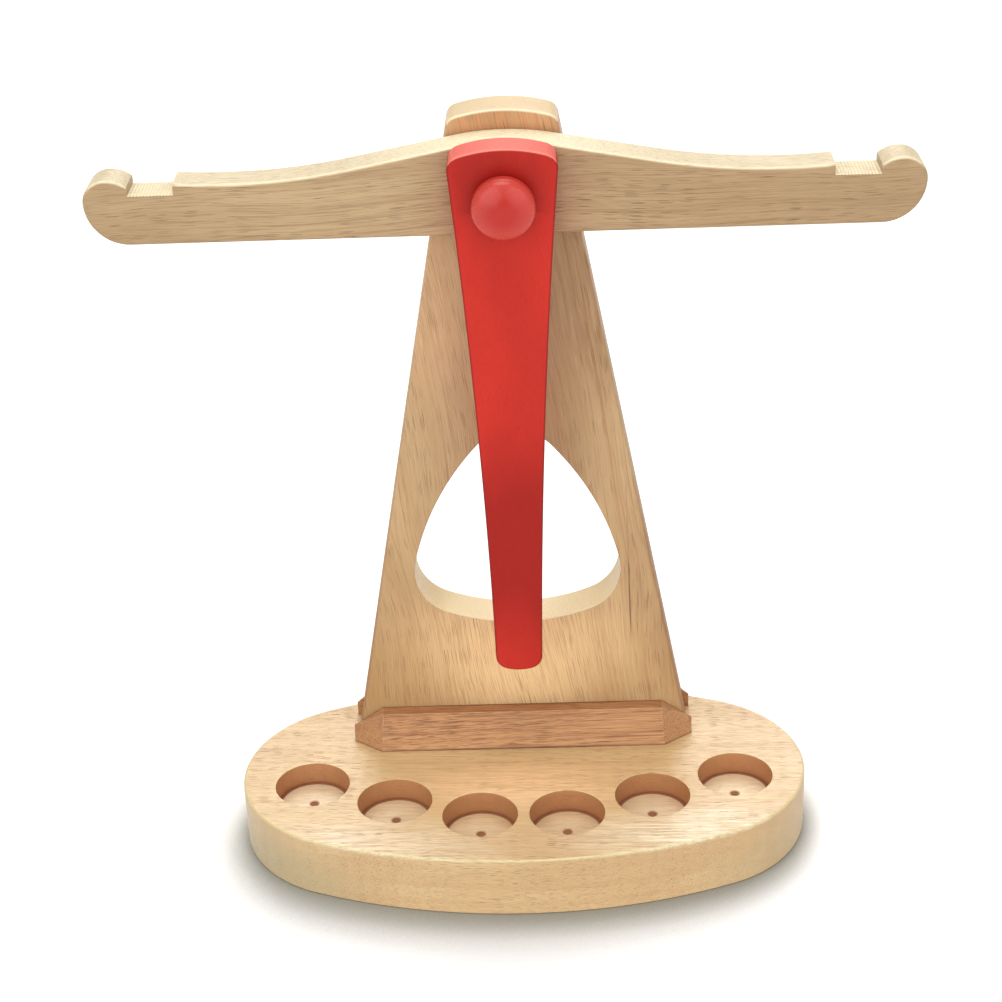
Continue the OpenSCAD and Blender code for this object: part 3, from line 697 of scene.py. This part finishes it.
def makeUpright():
    # a tapered board with an arched top and a rounded opening
    look = uprightLook
    base, height = uprightLow.z, uprightHigh.z
    foot = Vector((uprightHigh.x, base))
    side = Vector((look["topWidth"] / 2 - foot.x, height - base)).normalized()
    outward = -leftOf(side)
    crown = Vector((0, height - look["crownRadius"]))
    radius = look["cornerRadius"]
    corner = lineReach(foot - outward * radius, side, crown, look["crownRadius"] - radius)
    sideTurn, crownTurn = turnTo(Vector((0, 0)), outward), turnTo(crown, corner)
    bm = bmesh.new()
    pen = Pen(bm, Vector((0, base)), depth=uprightLow.y)
    pen.line(foot)
    pen.line(corner + outward * radius)
    pen.arc(corner, sideTurn, crownTurn, 6)
    pen.arc(crown, crownTurn, quarter, 14)
    # opening: bottom, corner, side and half of the apex
    lowest = Vector((0, base + look["openingRise"]))
    bottom = lowest + Vector((0, look["openingBottom"]))
    tip = look["openingCorner"]
    apex = lowest + Vector((0, look["openingHeight"] - tip))
    across = look["openingWidth"] / 2 - tip
    bend = Vector((across, bottom.y - math.sqrt((look["openingBottom"] - tip) ** 2 - across ** 2)))
    reach = look["openingSide"] - tip
    flank = circleMeet(bend, reach, apex, reach)
    turns = [turnTo(bottom, bend), turnTo(flank, bend), turnTo(flank, apex)]
    pen = Pen(bm, lowest, depth=uprightLow.y)
    pen.arc(bottom, -quarter, turns[0], 10)
    pen.arc(bend, turns[0], turns[1], 18)
    pen.arc(flank, turns[1], turns[2], 20)
    pen.arc(apex, turns[2], quarter, 10)
    makeBoard(bm, uprightLow, uprightHigh, axleRadius)
    # only the outline and the opening are rounded, and the sides get a little painted shade
    isFlush = lambda v: min(abs(v.co.y - uprightLow.y), abs(v.co.y - uprightHigh.y)) < tiny
    onFace = lambda e: isFlush(e.verts[0]) and isFlush(e.verts[1]) and keepsDepth(e)
    sideAt = lambda level: foot.x - (level - base) * look["sideSlope"]
    inOpening = lambda e: abs(middle(e).x) < across + tip and (
        lowest.y - tiny < middle(e).z < lowest.y + look["openingHeight"] + tiny) and (
        abs(middle(e).x) < sideAt(middle(e).z) - look["outerBand"])
    isOuter = lambda e: onFace(e) and middle(e).z > base + tiny and not (
        inOpening(e) or isNearAxle(e))
    roundArrises(bm, look["openingArris"], 3, lambda e: onFace(e) and inOpening(e))
    roundArrises(bm, look["arris"], 3, isOuter)
    shade = bm.verts.layers.float.new("shade")
    for v in bm.verts:
        isSide = abs(v.co.x) > sideAt(v.co.z) - look["arris"] * 0.6 and v.co.z < corner.y
        if isSide and not isFlush(v):
            v[shade] = look["sideShade"]
    # painted light on the crown and on what looks up in the opening
    inHole = lambda face: abs(face.calc_center_median().x) < across + tip and (
        face.calc_center_median().z < apex.y)
    isWall = lambda face: inHole(face) and abs(face.normal.y) < 0.5
    upward = lambda v: held(v.normal.z / 0.7 + 0.8)
    paintLightOnFaces(bm, lambda face, v: look["openingPaintedLight"] * upward(v) if isWall(face) else (
        look["crownPaintedLight"] if face.normal.z > 0.3 and not inHole(face) else None))
    return finishPiece(bm, "uprightBoard", "stand", ["upright"], woods["upright"])


makeUpright()


# Cleats

cleatLook = {
    "frontWidth": 0.1024, "flatWidth": 0.1014, "endHeight": 0.0054, "topThickness": 0.0052,
    "endThickness": 0.0027, "lean": math.radians(20), "arris": 0.00035, "topShade": 0.35,
    "roundedFrom": math.radians(8), "endSlope": 0.4, "endArea": 2e-5,
}


def makeCleat(name, node, turned):
    # a bar cut to a slope in front, with cut corners and dropped ends
    look = cleatLook
    width, height = cleatHigh.x - cleatLow.x, cleatHigh.z - cleatLow.z
    thickness = cleatHigh.y - cleatLow.y
    bm = bmesh.new()
    bmesh.ops.create_cube(bm, size=1)
    bmesh.ops.scale(bm, vec=(width, thickness, height), verts=bm.verts[:])
    bmesh.ops.translate(bm, vec=(cleatLow + cleatHigh) / 2, verts=bm.verts[:])
    plan = math.atan2(thickness - look["endThickness"], (width - look["frontWidth"]) / 2)
    slant = math.atan2(thickness - look["topThickness"], height)
    drop = math.atan2(height - look["endHeight"], (width - look["flatWidth"]) / 2)
    # a place and an outward direction for each cut: front, then corners and ends
    cuts = [((0, cleatLow.y, cleatLow.z), (0, -math.cos(slant), math.sin(slant)))]
    for s in (-1, 1):
        cuts.append(((s * look["frontWidth"] / 2, cleatLow.y, cleatLow.z), (
            s * math.sin(plan) * math.cos(look["lean"]), -math.cos(plan) * math.cos(look["lean"]),
            math.sin(look["lean"]))))
        cuts.append(((s * look["flatWidth"] / 2, cleatLow.y, cleatHigh.z), (
            s * math.sin(drop), 0, math.cos(drop))))
    for place, normal in cuts:
        cut = bmesh.ops.bisect_plane(
            bm, geom=bm.verts[:] + bm.edges[:] + bm.faces[:], dist=1e-8, plane_co=place,
            plane_no=normal, clear_outer=True)
        bmesh.ops.contextual_create(bm, geom=onlyEdges(cut["geom_cut"]))
    bmesh.ops.recalc_face_normals(bm, faces=bm.faces[:])
    wearAndHighlight = bm.verts.layers.float.new("wearAndHighlight")
    ends = bm.verts.layers.float.new("ends")
    shade = bm.verts.layers.float.new("shade")
    edges = [e for e in bm.edges if e.calc_face_angle() > look["roundedFrom"]]
    rounded = bmesh.ops.bevel(
        bm, geom=edges, offset=look["arris"], offset_type="OFFSET", segments=2, profile=0.5,
        affect="EDGES", clamp_overlap=True, material=-1, loop_slide=False)
    fresh = set(rounded["faces"])
    for v in rounded["verts"]:
        # open arrises get wear and a painted highlight
        isOpen = v.co.z > cleatLow.z + look["arris"] * 3 and (
            v.co.y < cleatHigh.y - look["arris"] * 1.5)
        v[wearAndHighlight] = 1.0 if isOpen and all(f in fresh for f in v.link_faces) else 0.0
        if v.co.z > cleatHigh.z - tiny:
            v[shade] = look["topShade"]
    for face in bm.faces:
        if abs(face.normal.x) > look["endSlope"] and face.calc_area() > look["endArea"]:
            for v in face.verts:
                v[ends] = 1.0
    if turned:
        bmesh.ops.scale(bm, vec=(1, -1, 1), verts=bm.verts[:])
        bmesh.ops.translate(bm, vec=(0, uprightLow.y + uprightHigh.y, 0), verts=bm.verts[:])
        bmesh.ops.reverse_faces(bm, faces=bm.faces[:])
    return finishPiece(bm, name, "stand", [node], woods["cleat"])


makeCleat("frontCleat", "front_cleat", False)
makeCleat("rearCleat", "rear_cleat", True)


# Beam

beamLook = {
    "crownRadius": 0.085, "crownHeight": 0.0161, "valleyHeight": 0.0048, "valleyPlace": 0.088,
    "valleyRadius": 0.216, "endRadius": 0.0141, "knobRadius": 0.0077, "knobTopRadius": 0.011,
    "notchFromEnd": 0.0145, "notchWidth": 0.0147, "notchFloor": 0.00185, "grooves": 14,
    "grooveDepth": 0.0002, "arris": 0.0010, "topPaintedLight": 0.6, "crownPaintedLight": 0.95,
    "crownReach": 0.03, "ridgePaintedLight": 0.95, "bowlPaintedLight": 0.85,
}


def beamPaintedLight(face, v, floor, notchIn, notchOut):
    # painted light on the top, most on its crown and on the ridges of the notches
    look = beamLook
    if face.normal.z < 0.5:
        return None
    if notchIn - tiny < abs(face.calc_center_median().x) < notchOut + tiny:
        isRidge = v.co.z > floor - look["grooveDepth"] * 0.4
        return look["ridgePaintedLight"] if isRidge else look["bowlPaintedLight"]
    offCrown = held(abs(v.co.x) / look["crownReach"] - 0.8)
    return look["crownPaintedLight"] + (look["topPaintedLight"] - look["crownPaintedLight"]) * offCrown


def makeBeam():
    # crown, hollow, grooved notch and end knob in one outline
    look = beamLook
    at = lambda x, up: Vector((x, pivot.z + up))
    end = Vector((beamHigh.x - look["endRadius"], beamLow.z + look["endRadius"]))
    knob = Vector((beamHigh.x - look["knobRadius"], end.y))
    knobTop = knob + Vector((0, look["knobRadius"] - look["knobTopRadius"]))
    crown = at(0, look["crownHeight"] - look["crownRadius"])
    valley = at(look["valleyPlace"], look["valleyHeight"] + look["valleyRadius"])
    way = valley - crown
    flank = math.atan2(way.y, way.x) + math.acos(
        (look["crownRadius"] + look["valleyRadius"]) / way.length)
    notchOut = beamHigh.x - look["notchFromEnd"]
    notchIn = notchOut - look["notchWidth"]
    floor = pivot.z + look["notchFloor"]
    valleyEnd = -math.acos((notchIn - valley.x) / look["valleyRadius"])
    bm = bmesh.new()
    pen = Pen(bm, crown + Vector((0, look["crownRadius"])), depth=beamLow.y)
    pen.arc(crown, quarter, flank, 12)
    pen.line(valley - along(flank) * look["valleyRadius"])
    pen.arc(valley, flank - math.pi, valleyEnd, 24)
    pen.line(Vector((notchIn, floor)))
    # grooves side by side across the notch
    step = look["notchWidth"] / look["grooves"]
    scoop = (step ** 2 / 4 + look["grooveDepth"] ** 2) / (2 * look["grooveDepth"])
    half = math.asin(step / 2 / scoop)
    for i in range(look["grooves"]):
        bowl = Vector((notchIn + (i + 0.5) * step, floor + math.sqrt(scoop ** 2 - step ** 2 / 4)))
        pen.arc(bowl, -quarter - half, -quarter + half, 4)
    topTurn = math.acos((notchOut - knobTop.x) / look["knobTopRadius"])
    pen.line(knobTop + along(topTurn) * look["knobTopRadius"])
    pen.arc(knobTop, topTurn, quarter, 6)
    pen.arc(knob, quarter, 0, 14)
    pen.arc(end, 0, -quarter, 18)
    pen.line(Vector((0, beamLow.z)))
    makeBoard(bm, beamLow, beamHigh, swingRadius)
    inNotch = lambda e: notchIn - tiny < abs(middle(e).x) < notchOut + tiny
    roundArrises(bm, look["arris"], 3, lambda e: keepsDepth(e) and not (
        inNotch(e) or isNearAxle(e)))
    paintLightOnFaces(bm, lambda face, v: beamPaintedLight(face, v, floor, notchIn, notchOut))
    return finishPiece(bm, "beamBoard", "balance", ["beam"], woods["beam"])


makeBeam()


# Pointer

pointerLook = {
    "headWidth": 0.0328, "tipWidth": 0.0158, "sideRadius": 2.6, "crownRadius": 0.048,
    "footRadius": 0.016, "cornerRadius": 0.005, "arris": 0.0007, "topPaintedLight": 0.95,
    "arrisShade": 0.75,
}


def makePointer():
    # a long board with bowed sides that hangs from the axle
    look = pointerLook
    corner = look["cornerRadius"]
    crown = Vector((0, pointerHigh.z - look["crownRadius"]))
    foot = Vector((0, pointerLow.z + look["footRadius"]))
    side = circleMeet(
        Vector((look["headWidth"] / 2, pivot.z)), look["sideRadius"],
        Vector((look["tipWidth"] / 2, pointerLow.z)), look["sideRadius"])
    upper = circleMeet(crown, look["crownRadius"] - corner, side, look["sideRadius"] + corner)
    lower = circleMeet(side, look["sideRadius"] + corner, foot, look["footRadius"] - corner)
    upperSide, lowerSide = turnTo(upper, side), turnTo(lower, side)
    upperTurn, lowerTurn = turnTo(crown, upper), turnTo(foot, lower)
    bm = bmesh.new()
    pen = Pen(bm, Vector((0, pointerHigh.z)), depth=pointerLow.y)
    pen.arc(crown, quarter, upperTurn, 10)
    pen.arc(upper, upperTurn, upperSide, 10)
    pen.arc(side, upperSide + math.pi, lowerSide + math.pi, 24)
    pen.arc(lower, lowerSide, lowerTurn, 10)
    pen.arc(foot, lowerTurn, -quarter, 6)
    makeBoard(bm, pointerLow, pointerHigh, swingRadius)
    roundArrises(bm, look["arris"], 4, lambda e: keepsDepth(e) and not isNearAxle(e))
    # painted light on the faces that look up
    paintLightOnFaces(bm, lambda face, v: look["topPaintedLight"] if face.normal.z > 0.4 else None)
    # painted shade darkens the front arrises of the sides and the foot
    shade = bm.verts.layers.float.new("shade")
    for v in bm.verts:
        isRounded = v.co.y < pointerLow.y + look["arris"] * 0.9 and abs(v.normal.y) < 0.95
        v[shade] = look["arrisShade"] if isRounded and v.normal.z < 0.3 else 0.0
    return finishPiece(
        bm, "redPointer", "balance", ["pointer"], paints["pointer"])


makePointer()


# Caps

capLook = {
    "edgeRadius": 0.0032, "domeRadius": 0.0165, "hole": 0.006, "steps": 96, "rimPaintedLight": 0.26,
}


def makeCap(name, node, rear, front):
    # a bun turned about the axle, from its flat rear to its domed front
    look = capLook
    out = 1 if front > rear else -1
    radius, thickness = (capHigh.x - capLow.x) / 2, abs(front - rear)
    edge = look["edgeRadius"]
    flat = radius - edge
    dome = Vector((0, thickness - look["domeRadius"]))
    shoulder = Vector((flat, dome.y + math.sqrt((look["domeRadius"] - edge) ** 2 - flat ** 2)))
    shoulderTurn = turnTo(dome, shoulder)
    bm = bmesh.new()
    pen = Pen(bm, Vector((0, look["hole"])), depth=0)
    pen.line(Vector((axleRadius, look["hole"])))
    pen.line(Vector((axleRadius, 0)))
    pen.line(Vector((flat, 0)))
    pen.arc(Vector((flat, edge)), -quarter, 0, 8)
    pen.line(shoulder + Vector((edge, 0)))
    pen.arc(shoulder, 0, shoulderTurn, 10)
    pen.arc(dome, shoulderTurn, quarter, 16)
    bmesh.ops.spin(
        bm, geom=bm.verts[:] + bm.edges[:], cent=(0, 0, 0), axis=(0, 0, 1), dvec=(0, 0, 0),
        angle=math.tau, steps=look["steps"], use_merge=True, use_normal_flip=False,
        use_duplicate=False)
    bmesh.ops.remove_doubles(bm, verts=bm.verts[:], dist=tiny)
    bmesh.ops.rotate(
        bm, cent=(0, 0, 0), matrix=Matrix.Rotation(-out * quarter, 3, "X"), verts=bm.verts[:])
    bmesh.ops.translate(bm, vec=(0, rear, pivot.z), verts=bm.verts[:])
    outward = lambda v: Vector((v.co.x, v.co.z - pivot.z)).length / radius
    # painted light towards the rim
    paintLightOnFaces(bm, lambda face, v: look["rimPaintedLight"] * held(outward(v) * 2 - 0.7))
    return finishPiece(bm, name, "stand", [node], paints["cap"])


makeCap("frontCap", "front_cap", capHigh.y, capLow.y)
makeCap("rearCap", "rear_cap", rearCapLow.y, rearCapHigh.y)


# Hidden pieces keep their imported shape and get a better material

hiddenLook = {
    "axle": woods["bare"], "spacer_washer": woods["bare"], "pointer_dowels": woods["bare"],
    "upright_screws": makeSteel("zincSteel", steelLook),
}
for nodeName, material in hiddenLook.items():
    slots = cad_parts[nodeName].data.materials
    slots.clear()
    slots.append(material)
print("stage: pieces made")


# Floor, light and camera

stageLook = {
    "floorSize": 12, "floor": colour(0.80, 0.80, 0.80), "floorSeen": colour(0.97, 0.97, 0.97),
    "floorGlow": 0.15, "floorRoughness": 0.9, "worldStrength": 0.4, "shadeSamples": 8,
    # contact shade: reach, lean of the looked-at half space, clearness from and to, colour
    "shades": [
        (0.040, (0.22, 0.50, 0.838), 0.35, 0.93, colour(0.38, 0.375, 0.34)),
        (0.018, (-0.1, 0.30, 0.949), 0.30, 0.85, colour(0.24, 0.23, 0.19)),
    ],
}
lampLook = {  # strength, width of the disc, turn from the front to the right, height, colour
    "top": (1.25, math.radians(40), math.radians(-12), math.radians(76), (1, 1, 1)),
    "rear": (1.4, math.radians(40), math.radians(178), math.radians(44), (1, 0.98, 0.92)),
    "frontLeft": (0.92, math.radians(50), math.radians(-32), math.radians(20), (1, 1, 1)),
    "frontRight": (0.7, math.radians(50), math.radians(36), math.radians(20), (1, 1, 1)),
}


def makeFloor():
    # a wide sheet that the camera sees as near white, with a soft shade under the toy
    look = stageLook
    bm = bmesh.new()
    bmesh.ops.create_grid(bm, x_segments=1, y_segments=1, size=look["floorSize"])
    mesh = bpy.data.meshes.new("floor")
    bm.to_mesh(mesh)
    bm.free()
    floor = bpy.data.objects.new("floor", mesh)
    bpy.context.scene.collection.objects.link(floor)
    bench = Bench("floorPaper")
    seen = bench.add("ShaderNodeLightPath", {}, {}, "Is Camera Ray")
    shown = look["floorSeen"]
    for reach, lean, low, high, tint in look["shades"]:
        leaning = bench.add("ShaderNodeCombineXYZ", {}, lean)
        clear = bench.add("ShaderNodeAmbientOcclusion", {"samples": look["shadeSamples"]}, {
            "Distance": reach, "Normal": leaning}, "AO")
        shown = bench.mix(bench.ramp(clear, low, high), tint, shown)
    bench.join(bench.mix(seen, look["floor"], shown), bench.shader.inputs["Base Color"])
    bench.shader.inputs["Roughness"].default_value = look["floorRoughness"]
    bench.join(bench.mix(seen, colour(0, 0, 0), shown), bench.shader.inputs["Emission Color"])
    bench.shader.inputs["Emission Strength"].default_value = look["floorGlow"]
    mesh.materials.append(bench.material)


def makeWorld():
    # white to the camera, dimmer to everything else
    world = bpy.data.worlds.new("studio")
    bpy.context.scene.world = world
    world.use_nodes = True
    tree = world.node_tree
    background = tree.nodes["Background"]
    background.inputs["Color"].default_value = colour(1, 1, 1)
    rays = tree.nodes.new("ShaderNodeLightPath")
    strength = tree.nodes.new("ShaderNodeMapRange")
    tree.links.new(rays.outputs["Is Camera Ray"], strength.inputs["Value"])
    strength.inputs["To Min"].default_value = stageLook["worldStrength"]
    strength.inputs["To Max"].default_value = 1.0
    tree.links.new(strength.outputs[0], background.inputs["Strength"])


def makeLamps():
    for name, (strength, width, turn, height, tint) in lampLook.items():
        light = bpy.data.lights.new(name, "SUN")
        light.energy = strength
        light.color = tint
        light.angle = width
        lamp = bpy.data.objects.new(name, light)
        lamp.rotation_euler = (quarter - height, 0, turn)
        bpy.context.scene.collection.objects.link(lamp)


cameraLook = {  # fitted to the photograph
    "place": (0.01082, -0.64175, 0.46563), "yaw": math.radians(-1.354),
    "pitch": math.radians(27.597), "roll": math.radians(-2.206), "lens": 77.76,
    "sensor": 36, "nearest": 0.01,
}


def makeCamera():
    look = cameraLook
    data = bpy.data.cameras.new("camera")
    data.lens = look["lens"]
    data.sensor_width = look["sensor"]
    data.clip_start = look["nearest"]
    camera = bpy.data.objects.new("camera", data)
    turn = Matrix.Rotation(-look["yaw"], 4, "Z") @ Matrix.Rotation(
        quarter - look["pitch"], 4, "X") @ Matrix.Rotation(look["roll"], 4, "Z")
    camera.matrix_world = Matrix.Translation(look["place"]) @ turn
    bpy.context.scene.collection.objects.link(camera)
    bpy.context.scene.camera = camera


makeFloor()
makeWorld()
makeLamps()
makeCamera()
bpy.context.scene.view_settings.view_transform = "Standard"
print("stage: floor, light and camera set")

bpy.context.view_layer.update()
